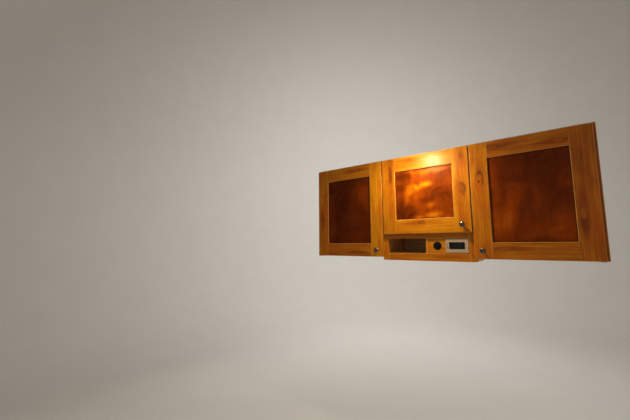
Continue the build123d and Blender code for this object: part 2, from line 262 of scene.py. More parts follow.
# Knots: place along the board and aside from its middle, radius, how far they stretch along it,
# and how dark their wood, their outline and their heart are
board_knots = {
    "left_door_hinge_stile": [(-0.052, -0.008, 0.012, 1.6, 0.6, 0.7, 0.6)],
    "left_door_free_stile": [(-0.205, 0.014, 0.007, 2.2, 0.3, 0.3, 0.3)],
    "left_door_top_rail": [(0.06, 0.010, 0.009, 2.6, 0.2, 0.2, 0.2)],
    "left_door_bottom_rail": [(0.06, -0.016, 0.007, 2.4, 0.3, 0.2, 0.3)],
    "middle_door_hinge_stile": [(0.122, 0.012, 0.014, 4.2, 1.0, 0.9, 0.0)],
    "middle_door_free_stile": [
        (0.000, 0.002, 0.022, 1.9, 0.5, 0.75, 0.1), (0.180, 0.006, 0.018, 1.8, 0.5, 0.0, 0.0),
    ],
    "middle_door_top_rail": [(-0.072, 0.013, 0.010, 1.7, 0.4, 0.7, 0.0)],
    "middle_door_bottom_rail": [(-0.017, 0.019, 0.011, 2.4, 0.5, 0.7, 0.3)],
    "right_door_free_stile": [(0.108, 0.000, 0.020, 2.0, 0.2, 1.0, 0.9)],
    "right_door_hinge_stile": [(-0.09, -0.016, 0.010, 2.8, 0.2, 0.1, 0.0)],
    "right_door_top_rail": [
        (-0.135, 0.006, 0.012, 1.8, 0.5, 0.2, 0.2), (0.125, -0.010, 0.009, 2.4, 0.2, 0.1, 0.1),
    ],
    "right_door_bottom_rail": [(-0.11, 0.010, 0.009, 2.6, 0.3, 0.1, 0.2)],
    "cubby_bottom_rail": [(0.12, 0.003, 0.007, 2.4, 0.3, 0.1, 0.3)],
    "frame_top_rail": [
        (-0.42, 0.0, 0.007, 2.0, 0.4, 0.5, 0.6), (0.33, 0.004, 0.006, 2.2, 0.3, 0.3, 0.5),
    ],
    "left_middle_stile": [(-0.10, 0.004, 0.005, 1.8, 0.3, 0.4, 0.4)],
    "upper_hanging_rail": [
        (-0.30, 0.01, 0.009, 1.5, 0.4, 0.7, 0.8), (0.41, -0.012, 0.007, 1.7, 0.4, 0.6, 0.8),
    ],
    "lower_hanging_rail": [
        (0.14, 0.004, 0.009, 1.4, 0.5, 0.8, 0.8), (-0.52, -0.01, 0.006, 1.8, 0.4, 0.6, 0.7),
    ],
}

painted_shade_by_board = {   # painted shading: how much darker a board is painted where light falls off towards the ends and where the middle door shadows the cubby rails; below zero, painted light on the middle door's boards
    "left_door_hinge_stile": 0.18, "left_door_top_rail": 0.10, "left_door_bottom_rail": 0.16,
    "right_door_hinge_stile": 0.20, "right_door_top_rail": 0.22, "right_door_bottom_rail": 0.12,
    "right_door_free_stile": 0.08, "left_end_stile": 0.16, "right_end_stile": 0.22,
    "cubby_top_rail": 0.08, "cubby_bottom_rail": 0.08, "middle_door_bottom_rail": -0.06,
    "middle_door_free_stile": -0.03,
}


def knots_in(finish, along, across, knots, warp):
    """The grain parted round each knot, then masks of the knots, their tails and their marks."""
    bent, inside, tails, rim, rings, heart, filled = across, 0, 0, 0, 0, 0, 0
    for place, aside, radius, stretch, fill, outline, core_mark in knots:
        up = (along - place) / stretch
        out = across - aside
        far2 = up * up + out * out
        bent = bent - out * radius**2 * 1.2 / (far2 + 0.4 * radius**2)
        distance = far2**0.5 / radius + warp
        body = 1 - finish.step(distance, 0.45, 1.15)
        inside = finish.greater(inside, body)
        filled = filled + body * fill
        drawn = up * 0.36
        tail = (drawn * drawn + out * out) ** 0.5 / radius + warp
        tails = finish.greater(tails, 1 - finish.step(tail, 0.4, 2.3))
        edge = 1 - finish.step(abs(distance - 0.82), 0.05, 0.36)
        one_side = finish.step((up * 0.8 + out) / radius + warp, -0.9, 0.7)
        rim = finish.greater(rim, edge * one_side * outline)
        off_up, off_out = up + radius * 0.24, out + radius * 0.16
        core = (off_up * off_up + off_out * off_out) ** 0.5 / radius + warp * 0.8
        rings = rings + body * (finish.math("SINE", core * 12) * 0.5 + 0.5)
        heart = finish.greater(heart, (1 - finish.step(core, 0.04, 0.34)) * core_mark)
    return bent, inside, tails, rim, rings, heart, filled


def along_grain(place, node, grain):
    """A board's three directions from its middle: along the grain, across it and through the board."""
    low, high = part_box(node)
    centre = (low + high) / 2
    local = {axis: field - middle for axis, field, middle in zip("xyz", place, centre)}
    return [local[axis] for axis in grain]


def board(name, node, grain, stain, seed, knots=(), seams=None, painted_shade=0.0):
    """Solid wood: rings round a heart behind the board, fibre, blotchy stain, knots, edge wear, a painted
    highlight on its bevels and painted shading.
    """
    palette = stains[stain]
    draw = random.Random(seed)
    finish = Finish(name)
    place = finish.place()
    along, across, deep = along_grain(place, node, grain)
    shift = [draw.uniform(-40, 40) for _ in range(3)]

    warp = (finish.noise(along * 48 + shift[0], across * 60 + shift[1], deep * 30, 2) - 0.5) * 0.9
    bent, inside, tails, rim, knot_rings, heart, filled = knots_in(finish, along, across, knots, warp)

    heart_aside = draw.choice((-1, 1)) * draw.uniform(0.004, 0.05)
    heart_behind = draw.uniform(0.03, 0.07)
    lean = [draw.uniform(-0.05, 0.05) for _ in range(2)]
    wave = finish.noise(along * 5 + shift[1], bent * 14 + shift[2], deep * 14, 3) * 0.016
    ring_x = bent - heart_aside - along * lean[0] + wave
    ring_y = deep - heart_behind - along * lean[1]
    growth = (ring_x * ring_x + ring_y * ring_y) ** 0.5
    ring = finish.fraction(growth / draw.uniform(0.0042, 0.0058)) ** 2.6

    fibre = finish.noise(bent * 620 + shift[0], deep * 620, along * 14 + shift[1], 3, 0.62)
    pores = finish.noise(bent * 1900 + shift[2], deep * 1900, along * 85 + shift[0], 2)
    blotch = finish.noise(bent * 24 + shift[2], deep * 24, along * 7 + shift[0], 4, 0.58)
    streak = finish.noise(bent * 110 + shift[1], deep * 110, along * 1.8 + shift[2], 3, 0.6)
    flush = finish.noise(bent * 17 + shift[0], deep * 17, along * 5 + shift[2], 3)
    flecks = finish.step(pores, 0.60, 0.72)

    tone = blotch * 0.62 + streak * 0.62 + fibre * 0.26 + ring * 0.10 - 0.36
    # painted shading and painted light of each board, from the table above
    tone = tone + tails * 0.26 + flecks * 0.08 + draw.uniform(-0.05, 0.05) + painted_shade
    pale, mid, deep_tone, dark = palette["tones"]
    wood = finish.ramp(tone, (0.10, pale), (0.38, mid), (0.66, deep_tone), (0.98, dark))
    wood = finish.mix(finish.step(flush, 0.47, 0.72) * 0.48, wood, palette["blush"])
    heartwood = finish.mix(knot_rings * 0.25 + filled, palette["knot"][0], palette["knot"][1])
    wood = finish.mix(inside * 0.82, wood, heartwood)
    marks = finish.greater(rim * (finish.step(blotch, 0.3, 0.6) * 0.4 + 0.42), heart * 0.9)
    wood = finish.mix(marks, wood, palette["knot"][2])

    edge = edge_distance(finish, node, place)
    # pale edges: wear near the board's edges
    edge_wear_and_highlight = (1 - finish.step(edge, 0.0004, 0.0032)) * finish.step(fibre + blotch, 0.72, 1.18)
    behind_front = finish.step(place[1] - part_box(node)[0].y, 0.0003, 0.0007)
    # painted highlight: bevelled and rounded faces behind the front take the pale colour, where light
    # catches the arrises
    edge_wear_and_highlight = finish.greater(edge_wear_and_highlight * 0.5, slanted(finish) * behind_front * 0.7)
    wood = finish.mix(edge_wear_and_highlight, wood, palette["wear_and_highlight"])
    groove = 0
    if seams:
        groove = 1 - finish.step(abs(abs(along) - seams), 0.0001, 0.0007)
        wood = finish.mix(groove * 0.85, wood, palette["seam"])

    height = fibre * 0.5 - flecks * 0.4 + ring * 0.2 + inside * 0.5 - marks * 0.5 - groove * 1.5
    rough = palette["rough"] + (fibre - 0.5) * 0.18 + flecks * 0.12 + (blotch - 0.5) * 0.14
    return finish.surface(
        Base_Color=wood,
        Roughness=rough,
        Specular_IOR_Level=palette["gloss"],
        Coat_Weight=palette["coat"],
        Coat_Roughness=0.25,
        Normal=finish.bump(height, 0.00022),
    )


panel_tongue = 8.5 * mm   # how far a panel runs into its grooves
figures = {   # each panel's own tone with painted light on top, and how strong its clouds are, then soft folds of the figure that also paint the lamp's light and shading on it: x and z from the panel's middle, half width, half height, strength
    # x and z from the panel's middle, half width, half height, strength
    "left": (-0.17, 0.62, [
        (0.085, 0.115, 0.060, 0.085, 0.13), (0.060, -0.110, 0.060, 0.090, 0.10),
        (-0.090, 0.020, 0.060, 0.130, -0.10), (-0.150, -0.100, 0.030, 0.120, 0.06),
    ]),
    "middle": (-0.03, 0.85, [
        (0.027, 0.068, 0.036, 0.022, 0.46), (-0.035, 0.055, 0.042, 0.018, 0.30),
        (-0.080, 0.028, 0.036, 0.024, 0.28), (-0.100, -0.015, 0.030, 0.030, 0.14),
        (0.060, 0.131, 0.100, 0.014, 0.32), (0.060, -0.076, 0.026, 0.020, 0.22),
        (0.067, -0.125, 0.046, 0.016, 0.36), (-0.016, -0.137, 0.030, 0.010, 0.20),
        (-0.125, 0.104, 0.070, 0.022, -0.16), (0.110, -0.010, 0.060, 0.040, -0.22),
        (0.020, -0.036, 0.060, 0.018, -0.18), (-0.095, -0.092, 0.070, 0.045, -0.20),
    ]),
    "right": (-0.12, 0.55, [
        (-0.118, -0.125, 0.046, 0.070, 0.20), (-0.085, -0.035, 0.026, 0.080, 0.16),
        (-0.052, 0.040, 0.020, 0.060, 0.10), (-0.140, 0.060, 0.018, 0.160, 0.12),
        (0.120, -0.150, 0.080, 0.070, 0.24), (0.010, -0.160, 0.060, 0.050, 0.08),
        (0.080, 0.130, 0.090, 0.090, -0.08),
    ]),
}


def figured_panel(name, node, seed, figure):
    """A flat panel of stained veneer: cloudy figure that folds on itself, over faint upright grain, with
    painted light on the figure and painted shading along the frame.
    """
    draw = random.Random(seed)
    tone_and_painted_light, clouds, folds = figure
    finish = Finish(name)
    x, y, z = finish.place()
    low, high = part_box(node)
    centre = (low + high) / 2
    x, z = x - centre.x, z - centre.z
    shift = [draw.uniform(-30, 30) for _ in range(4)]
    fold_x = finish.noise(x * 5 + shift[0], y, z * 5 + shift[1], 2) - 0.5
    fold_z = finish.noise(x * 5 + shift[1], y, z * 5 + shift[2], 2) - 0.5
    cloud = finish.noise(
        x * 4.2 + fold_x * 3.0 + shift[2], y, z * 5.2 + fold_z * 3.0 + shift[0], 3, 0.45
    )
    flame = finish.noise(
        x * 9 + cloud * 4.0 + shift[3], y, z * 6 + fold_x * 4 + shift[1], 2, 0.5
    )
    fibre = finish.noise(x * 700 + shift[0], y, z * 22 + shift[3], 3, 0.6)
    streak = finish.noise(x * 60 + fold_z * 3 + shift[1], y, z * 2.0 + shift[2], 3)
    ripple = finish.noise(x * 26 + fold_x * 5 + shift[0], y, z * 40 + fold_z * 5 + shift[3], 2)
    # folds: partly the veneer's own figure, partly painted light and shading of the lamp's sheen on it
    glow = 0
    for fold_at_x, fold_at_z, half_width, half_height, strength in folds:
        across = (x - fold_at_x + fold_x * 0.10 + (cloud - 0.5) * 0.05) / half_width
        upward = (z - fold_at_z + fold_z * 0.10 + (cloud - 0.5) * 0.03) / half_height
        reach = (across * across + upward * upward) ** 0.5 + (flame - 0.5) * 1.6
        glow = glow + (1 - finish.step(reach, 0.0, 1.7)) * strength
    tone = (cloud * 0.80 + flame * 0.36 + ripple * 0.20 - 0.68) * clouds + 0.32
    # painted light: each panel's tone is set partly for its own colour and partly for how brightly the
    # lamp lights it
    tone = tone + streak * 0.14 + fibre * 0.12 + glow + tone_and_painted_light
    wood = finish.ramp(
        tone,
        (0.06, colour(60, 18, 0)),
        (0.32, colour(101, 38, 1)),
        (0.54, colour(144, 59, 2)),
        (0.76, colour(188, 99, 4)),
        (0.98, colour(230, 152, 12)),
    )
    open_x = (high.x - low.x) / 2 - panel_tongue
    open_z = (high.z - low.z) / 2 - panel_tongue
    # painted shading: a dark band along the frame's edge, where the recess under the frame is in shadow
    from_frame = finish.lesser(open_x - abs(x), open_z - abs(z))
    painted_frame_shadow = (1 - finish.step(from_frame, 0.0, 0.006)) * 0.85
    wood = finish.mix(painted_frame_shadow, wood, colour(40, 10, 0))
    rough = 0.28 + (cloud - 0.5) * 0.16 + (fibre - 0.5) * 0.12
    return finish.surface(
        Base_Color=wood,
        Roughness=rough,
        Specular_IOR_Level=0.08,
        Normal=finish.bump(fibre * 0.6 + streak * 0.3, 0.00012),
    )


ply_boards = {   # the grain's axis, the axis across it, the board's thickness; then its layers
    "left_end_panel": ("zyx", 9),
    "right_end_panel": ("zyx", 9),
    "left_partition": ("zyx", 9),
    "right_partition": ("zyx", 9),
    "left_compartment_floor": ("xyz", 9),
    "middle_compartment_floor": ("xyz", 9),
    "right_compartment_floor": ("xyz", 9),
    "cubby_floor": ("xyz", 9),
    "back_panel": ("xzy", 5),
    "roof_skin": ("xyz", 5),
}

roof_skin_low, roof_skin_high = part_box("roof_skin")
roof_radius = 3.2
roof_crest_ahead = 0.4   # how far the arc's crest lies before the doors
roof_skin_thickness = 5 * mm
roof_axis_y = door_front - roof_crest_ahead
roof_axis_z = roof_skin_high.z - math.sqrt(
    (roof_radius + roof_skin_thickness) ** 2 - (roof_skin_low.y - roof_axis_y) ** 2
)


def plywood(name, node, grain, layers, seed):
    """Birch plywood: pale faces with a slow figure, and edges that show the crossed layers."""
    draw = random.Random(seed)
    finish = Finish(name)
    place = finish.place()
    along, across, deep = along_grain(place, node, grain)
    if node == "roof_skin":   # bent over the boards' arc, and left without varnish
        rough, gloss, coat = 0.72, 0.05, 0.0
        thick = roof_skin_thickness
        y, z = place[1] - roof_axis_y, place[2] - roof_axis_z
        deep = (y * y + z * z) ** 0.5 - roof_radius - thick / 2
    else:
        rough, gloss, coat = 0.46, 0.5, 0.15
        low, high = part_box(node)
        thick = (high - low)["xyz".index(grain[2])]
    shift = [draw.uniform(-30, 30) for _ in range(3)]
    layer = finish.greater(0.25, finish.lesser(layers - 0.25, (deep / thick + 0.5) * layers))
    crossed = finish.step(finish.math("PINGPONG", layer - 0.5, 1.0), 0.47, 0.53)
    glue = 1 - finish.step(abs(finish.fraction(layer + 0.5) - 0.5), 0.02, 0.09)

    slow = finish.noise(across * 9 + shift[0], deep * 40, along * 1.6 + shift[1], 3)
    figure = finish.math("SINE", (slow * 9 + across * 55) * 3.1) * 0.5 + 0.5
    fibre = finish.noise(across * 520 + shift[2], deep * 520, along * 20 + shift[0], 3, 0.6)
    blotch = finish.noise(across * 12 + shift[1], deep * 12, along * 6 + shift[2], 4)
    flecks = finish.step(finish.noise(across * 900, deep * 900, along * 130 + shift[0], 1), 0.64, 0.75)
    pale, mid, dark = colour(226, 186, 126), colour(206, 158, 98), colour(158, 106, 56)
    tone = figure * 0.22 + fibre * 0.34 + blotch * 0.5 + flecks * 0.25 - 0.12
    wood = finish.ramp(tone, (0.15, pale), (0.5, mid), (0.95, dark))
    end_grain = finish.noise(across * 700, deep * 700 + shift[1], along * 700, 2)
    crossed_wood = finish.ramp(end_grain, (0.3, colour(150, 104, 60)), (0.7, colour(196, 152, 98)))
    wood = finish.mix(crossed * 0.85, wood, crossed_wood)
    wood = finish.mix(glue * 0.7, wood, colour(84, 50, 26))
    height = fibre * 0.5 - glue * 0.6 - crossed * 0.3 + end_grain * 0.2
    return finish.surface(
        Base_Color=wood,
        Roughness=rough + (fibre - 0.5) * 0.2 + crossed * 0.2,
        Specular_IOR_Level=gloss,
        Coat_Weight=coat,
        Coat_Roughness=0.3,
        Normal=finish.bump(height, 0.0002),
    )


def brushed_metal(name, tint, rough, brush="z", metal=1.0):
    """Plated or lacquered metal with fine brushing one way, a few scuffs and dull patches."""
    finish = Finish(name)
    x, y, z = finish.place()
    lines = {"x": (x * 60, y * 2600, z * 2600), "z": (x * 2600, y * 2600, z * 60)}[brush]
    brushed = finish.noise(*lines, 2)
    dull = finish.noise(x * 90, y * 90, z * 90, 3)
    scuff = finish.step(finish.noise(x * 260 + dull * 6, y * 260, z * 30, 2), 0.62, 0.7)
    dark = tuple(part * 0.78 for part in tint[:3]) + (1,)
    return finish.surface(
        Base_Color=finish.mix(dull * 0.7 + scuff * 0.3, tint, dark),
        Metallic=metal,
        Roughness=rough + (brushed - 0.5) * 0.16 + dull * 0.1 + scuff * 0.1,
        Normal=finish.bump(brushed, 0.00003),
    )


def satin_plate(name):
    """Satin plate with hairline wiping marks and faint fingerprints."""
    finish = Finish(name)
    x, y, z = finish.place()
    wipe = finish.noise(x * 900, y * 160, z * 900, 2)
    print_marks = finish.step(finish.noise(x * 170, y * 170, z * 170, 4), 0.5, 0.68)
    return finish.surface(
        Base_Color=finish.mix(print_marks * 0.4, colour(104, 97, 88), colour(76, 69, 61)),
        Metallic=1.0,
        Roughness=0.20 + print_marks * 0.08 + (wipe - 0.5) * 0.06,
        Normal=finish.bump(wipe, 0.000006),
    )


def moulded(name, light, dark, rough, grain=1400, coat=0.0, gloss=0.5):
    """Moulded plastic or rubber: a fine leathery grain, with dust that settles in it."""
    finish = Finish(name)
    x, y, z = finish.place()
    texture = finish.noise(x * grain, y * grain, z * grain, 2)
    dust = finish.noise(x * 140, y * 140, z * 140, 4)
    return finish.surface(
        Base_Color=finish.mix(finish.step(dust, 0.35, 0.75), dark, light),
        Roughness=rough + (texture - 0.5) * 0.2 + (dust - 0.5) * 0.12,
        Specular_IOR_Level=gloss,
        Coat_Weight=coat,
        Coat_Roughness=0.2,
        Normal=finish.bump(texture, 0.00004),
    )


def paint(node, material):
    """Gives a node of the frame its finish."""
    data = nodes[node].data
    data.materials.clear()
    data.materials.append(material)


def ease(node, width):
    """Breaks a node's sharp edges, as sanding or tumbling leaves them."""
    shape = nodes[node]
    weld = shape.modifiers.new("weld", "WELD")
    weld.merge_threshold = 0.01 * mm
    flat = shape.modifiers.new("flat_faces", "DECIMATE")
    flat.decimate_type = "DISSOLVE"
    flat.angle_limit = math.radians(0.5)
    bevel = shape.modifiers.new("eased_edges", "BEVEL")
    bevel.width = width
    bevel.segments = 2
    bevel.limit_method = "ANGLE"
    bevel.angle_limit = math.radians(40)
    bevel.use_clamp_overlap = True
    bevel.harden_normals = True


def rail_seams(node):
    """How far from its middle a rail meets the stiles at its ends."""
    if "_door_" not in node:
        low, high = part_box(node)
        return (high.x - low.x) / 2
    low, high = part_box(node.split("_door_")[0] + "_door_panel")
    return (high.x - low.x) / 2 - panel_tongue


def wooden_finish(node, seed):
    """A wooden node's material and how far its edges are eased; none for any other node."""
    own = board_knots.get(node, ())
    painted_shade = painted_shade_by_board.get(node, 0)
    if "hanging_rail" in node:
        return board(f"bare_{node}", node, "xzy", "bare", seed, own), 0.6 * mm
    if node.endswith("_door_panel"):
        return figured_panel(f"stained_{node}", node, seed, figures[node.split("_")[0]]), 0
    if node.endswith("_stile"):
        return board(f"honey_{node}", node, "zxy", "honey", seed, own, None, painted_shade), 0.35 * mm
    if node.endswith("_rail"):
        seams = rail_seams(node)
        return board(f"honey_{node}", node, "xzy", "honey", seed, own, seams, painted_shade), 0.35 * mm
    if node in ("cubby_divider", "control_panel"):
        grain = "yzx" if node == "cubby_divider" else "xzy"
        return board(f"honey_{node}", node, grain, "honey", seed, own), 0.3 * mm
    if node in ply_boards:
        grain, layers = ply_boards[node]
        return plywood(f"birch_{node}", node, grain, layers, seed), 0.25 * mm
    return None, 0


def dress_frame():
    """Every wooden node, board by board."""
    for seed, node in enumerate(sorted(nodes), start=12):
        material, easing = wooden_finish(node, seed)
        if material:
            paint(node, material)
        if easing:
            ease(node, easing)


def dress_fittings():
    """Metal, rubber and plastic nodes."""
    steel = brushed_metal("hinge_steel", colour(190, 188, 182), 0.30)
    magnet = brushed_metal("magnet_nickel", colour(176, 176, 178), 0.24)
    rubber = moulded("bumper_rubber", colour(206, 202, 190), colour(176, 170, 156), 0.5)
    black = moulded("outlet_black", colour(26, 23, 22), colour(10, 9, 8), 0.42, gloss=0.2)
    cap = moulded("cap_black", colour(18, 17, 16), colour(6, 6, 6), 0.62, gloss=0.16)
    # painted light: the warm tint stands for the warm lamp on a silver plate
    silver = brushed_metal("bezel_silver", colour(198, 172, 150), 0.42, "x", metal=0.15)
    glass = moulded(
        "screen_glass", colour(9, 12, 12), colour(5, 7, 7), 0.14, grain=300, coat=0.2, gloss=0.3
    )
    finishes = [   # the end of the node's name, its finish, how far its edges are eased in mm
        ("_brackets", steel, 0.25),
        ("_hinge_leaves", steel, 0.25),
        ("_strike", steel, 0.15),
        ("catch_magnets", magnet, 0.2),
        ("_bumpers", rubber, 0.3),
        ("outlet_body", black, 0.15),
        ("outlet_cap", cap, 0.2),
        ("display_bezel", silver, 0.15),
        ("display_screen", glass, 0.0),
    ]
    for node in nodes:
        for ending, material, easing in finishes:
            if node.endswith(ending):
                paint(node, material)
                if easing:
                    ease(node, easing * mm)


def add_object(name, data):
    """A new object in the scene."""
    made = bpy.data.objects.new(name, data)
    bpy.context.scene.collection.objects.link(made)
    return made


def add_piece(name, mesh, body, material):
    """A piece of its own, at the origin, that rides on a body."""
    if material:
        mesh.materials.append(material)
    piece = add_object(name, mesh)
    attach(piece, body)
    return piece


def arc(centre_r, centre_h, radius, start, end, steps):
    """Points (radius, height) along an arc; angles in degrees from the radial direction."""
    angles = [math.radians(start + (end - start) * i / steps) for i in range(steps + 1)]
    return [(centre_r + radius * math.cos(a), centre_h + radius * math.sin(a)) for a in angles]


def lathe(shape, profile, segments, turn):
    """Adds a turned form to a bmesh; turn puts its axis, +Z, where the form goes."""
    rings = []
    for radius, height in profile:
        if radius < merge_distance:
            rings.append([shape.verts.new(turn @ Vector((0, 0, height)))])
            continue
        angles = [2 * math.pi * i / segments for i in range(segments)]
        spots = [Vector((radius * math.cos(a), radius * math.sin(a), height)) for a in angles]
        rings.append([shape.verts.new(turn @ spot) for spot in spots])
    for lower, upper in zip(rings, rings[1:]):
        for i in range(segments):
            j = (i + 1) % segments
            if len(lower) == 1:
                corners = [lower[0], upper[j], upper[i]]
            elif len(upper) == 1:
                corners = [lower[i], lower[j], upper[0]]
            else:
                corners = [lower[i], lower[j], upper[j], upper[i]]
            shape.faces.new(corners).smooth = True


def finished_mesh(name, shape, crease=30):
    """A bmesh made into a mesh with its normals outwards and its creases sharp."""
    bmesh.ops.recalc_face_normals(shape, faces=shape.faces)
    for edge in shape.edges:
        edge.smooth = edge.calc_face_angle(0) < math.radians(crease)
    mesh = bpy.data.meshes.new(name)
    shape.to_mesh(mesh)
    shape.free()
    return mesh


# Knobs
knob_radius = 14 * mm
knob_length = 25 * mm
knob_foot = 8 * mm
knob_neck = 5 * mm
knob_dome_height = 5 * mm
knob_screw_head = 4.5 * mm
knob_screw_height = 2.5 * mm
knob_screw_round = 1.6 * mm
knob_recess_reach = 2.2 * mm
knob_recess_depth = 1.6 * mm
knob_segments = 96
knob_screw_segments = 48


def knob_profile():
    """The knob's outline from its foot to the top of its dome, in metres."""
    bead, bead_up = 0.6 * mm, 0.9 * mm
    cove, cove_up = 3.2 * mm, 5.2 * mm
    flare, flare_up = 6.2 * mm, 9.6 * mm
    rim, rim_up = 1.4 * mm, knob_length - knob_dome_height - 0.9 * mm
    foot_flat = knob_foot - 0.5 * mm
    neck_up = 8 * mm
    dome_edge = knob_radius - 1.2 * mm
    dome_radius = (knob_radius**2 + knob_dome_height**2) / (2 * knob_dome_height)
    dome_angle = math.degrees(math.asin(dome_edge / dome_radius))
    outline = [(0, 0), (foot_flat, 0)]
    outline += arc(knob_foot - bead, bead_up, bead, -40, 60, 5)
    outline += arc(knob_neck + cove, cove_up, cove, 255, 180, 10)
    outline += [(knob_neck, neck_up)]
    outline += arc(knob_neck + flare, flare_up, flare, 180, 118, 12)
    outline += arc(knob_radius - rim, rim_up, rim, -62, 40, 10)
    outline += arc(0, knob_length - dome_radius, dome_radius, 90 - dome_angle, 90, 24)[:-1]
    outline += [(0, knob_length)]
    return outline


def cross_recess(shape, turn, height, reach, depth, outer, segments):
    """A flat screw face with a cross-shaped recess, closing a turned form at its rim ring."""
    arm = reach * 0.28
    tip = arm * 0.8
    floor_share = 0.35   # how wide the recess is at its floor
    corners = []
    for quarter in range(4):
        spin = Matrix.Rotation(quarter * math.pi / 2, 3, "Z")
        corners += [spin @ Vector(spot) for spot in ((arm, -arm, 0), (reach, -tip, 0), (reach, tip, 0))]
    top = [shape.verts.new(turn @ (spot + Vector((0, 0, height)))) for spot in corners]
    floor = [
        shape.verts.new(turn @ (spot * floor_share + Vector((0, 0, height - depth)))) for spot in corners
    ]
    angles = [2 * math.pi * i / segments for i in range(segments)]
    rim = [
        shape.verts.new(turn @ Vector((outer * math.cos(a), outer * math.sin(a), height))) for a in angles
    ]
    loops = []
    for ring in (rim, top):
        loops += [shape.edges.new((ring[i], ring[(i + 1) % len(ring)])) for i in range(len(ring))]
    bmesh.ops.triangle_fill(shape, use_beauty=True, edges=loops)
    for i in range(len(top)):
        j = (i + 1) % len(top)
        shape.faces.new([top[i], top[j], floor[j], floor[i]])
    shape.faces.new(floor)


def unit_screw():
    """A flat countersunk head of 1 mm radius; its face and its recess's floor stand a little proud."""
    radius, proud = 1.0 * mm, 0.08 * mm
    sunk, shank = radius * 0.55, radius * 0.45
    recess_reach, recess_depth = radius * 0.62, proud * 0.85
    segments = 24
    upright = Matrix.Identity(4)
    rim = arc(radius - proud / 2, proud / 2, proud / 2, 0, 90, 3)
    shape = bmesh.new()
    lathe(shape, [(0, -sunk), (shank, -sunk), (radius, 0)] + rim, segments, upright)
    cross_recess(shape, upright, proud, recess_reach, recess_depth, rim[-1][0], segments)
    bmesh.ops.remove_doubles(shape, verts=shape.verts, dist=merge_distance)
    return form_object("unit_screw", shape)


def make_knobs():
    """Three plated knobs, each with the screw that holds it from inside the door."""
    plate = satin_plate("knob_chrome")
    for name in door_names:
        low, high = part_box(f"{name}_door_knob")
        middle = (low + high) / 2
        outwards = Matrix.Rotation(math.pi / 2, 4, "X")
        inwards = Matrix.Rotation(-math.pi / 2, 4, "X")
        shape = bmesh.new()
        foot = Matrix.Translation((middle.x, door_front, middle.z)) @ outwards
        lathe(shape, knob_profile(), knob_segments, foot)
        seat = Matrix.Translation((middle.x, high.y, middle.z)) @ inwards
        head = [(0, -knob_screw_height), (knob_screw_head, -knob_screw_height)]
        head += arc(knob_screw_head - knob_screw_round, -knob_screw_round, knob_screw_round, 0, 80, 6)
        lathe(shape, head, knob_screw_segments, seat)
        rim, top = head[-1]
        cross_recess(shape, seat, top, knob_recess_reach, knob_recess_depth, rim, knob_screw_segments)
        bmesh.ops.remove_doubles(shape, verts=shape.verts, dist=merge_distance)
        mesh = finished_mesh(f"{name}_knob", shape, 35)
        piece = add_piece(f"{name}_knob", mesh, f"{name}_door", plate)
        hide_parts(f"{name}_door_knob")


def scatter_tree():
    """Geometry nodes that set a form on each point of a mesh, facing one way and turned at random."""
    tree = bpy.data.node_groups.new("set_on_points", "GeometryNodeTree")
    face = tree.interface
    inputs = [
        ("Points", "NodeSocketGeometry"),
        ("Form", "NodeSocketObject"),
        ("Facing", "NodeSocketVector"),
        ("Size", "NodeSocketFloat"),
        ("Turn", "NodeSocketFloat"),
        ("Seed", "NodeSocketInt"),
        ("Finish", "NodeSocketMaterial"),
    ]
    for name, kind in inputs:
        face.new_socket(name=name, in_out="INPUT", socket_type=kind)
    face.new_socket(name="Shape", in_out="OUTPUT", socket_type="NodeSocketGeometry")

    def add(kind, settings=(), **links):
        """One node: its settings, then a link for each input, whose name is written with _ for a space."""
        made = tree.nodes.new(kind)
        for key, value in dict(settings).items():
            setattr(made, key, value)
        for key, socket in links.items():
            tree.links.new(socket, made.inputs[key.replace("_", " ")])
        return made

    source = tree.nodes.new("NodeGroupInput").outputs
    target = tree.nodes.new("NodeGroupOutput")
    points = add("GeometryNodeMeshToPoints", Mesh=source["Points"])
    info = add("GeometryNodeObjectInfo", Object=source["Form"])
    facing = add("FunctionNodeAlignRotationToVector", {"axis": "Z"}, Vector=source["Facing"])
    spin = add("FunctionNodeRandomValue", {"data_type": "FLOAT"}, Seed=source["Seed"])
    tree.links.new(source["Turn"], spin.inputs[3])   # of its inputs named Max, the one for a number
    around = add("FunctionNodeAxisAngleToRotation", Angle=spin.outputs[1])
    around.inputs["Axis"].default_value = (0, 0, 1)
    turned = add(
        "FunctionNodeRotateRotation",
        {"rotation_space": "LOCAL"},
        Rotation=facing.outputs[0],
        Rotate_By=around.outputs[0],
    )
    placed = add(
        "GeometryNodeInstanceOnPoints",
        Points=points.outputs[0],
        Instance=info.outputs["Geometry"],
        Rotation=turned.outputs[0],
        Scale=source["Size"],
    )
    real = add("GeometryNodeRealizeInstances", Geometry=placed.outputs[0])
    finished = add("GeometryNodeSetMaterial", Geometry=real.outputs[0], Material=source["Finish"])
    tree.links.new(finished.outputs[0], target.inputs[0])
    return tree


def set_on_points(tree, name, spots, form, facing, material, body, size=1.0, turn=0.0, seed=0):
    """One plain mesh of a form set on every spot, turned at random by up to turn."""
    seeds = bpy.data.meshes.new(name + "_points")
    seeds.from_pydata([tuple(spot) for spot in spots], [], [])
    source = add_object(name + "_points", seeds)
    modifier = source.modifiers.new("set_on_points", "NODES")
    modifier.node_group = tree
    values = {
        "Form": form, "Facing": facing, "Size": size, "Turn": turn, "Seed": seed, "Finish": material,
    }
    for item in tree.interface.items_tree:
        if item.in_out == "INPUT" and item.name in values:
            modifier[item.identifier] = values[item.name]
    bpy.context.view_layer.update()
    evaluated = source.evaluated_get(bpy.context.evaluated_depsgraph_get())
    mesh = bpy.data.meshes.new_from_object(evaluated)
    mesh.name = name
    bpy.data.objects.remove(source)
    return add_piece(name, mesh, body, None)


def form_object(name, shape):
    """A form that only the geometry nodes use."""
    return bpy.data.objects.new(name, finished_mesh(name, shape))


def evenly(start, end, count):
    """Count places from start to end."""
    return [start + (end - start) * i / (count - 1) for i in range(count)]


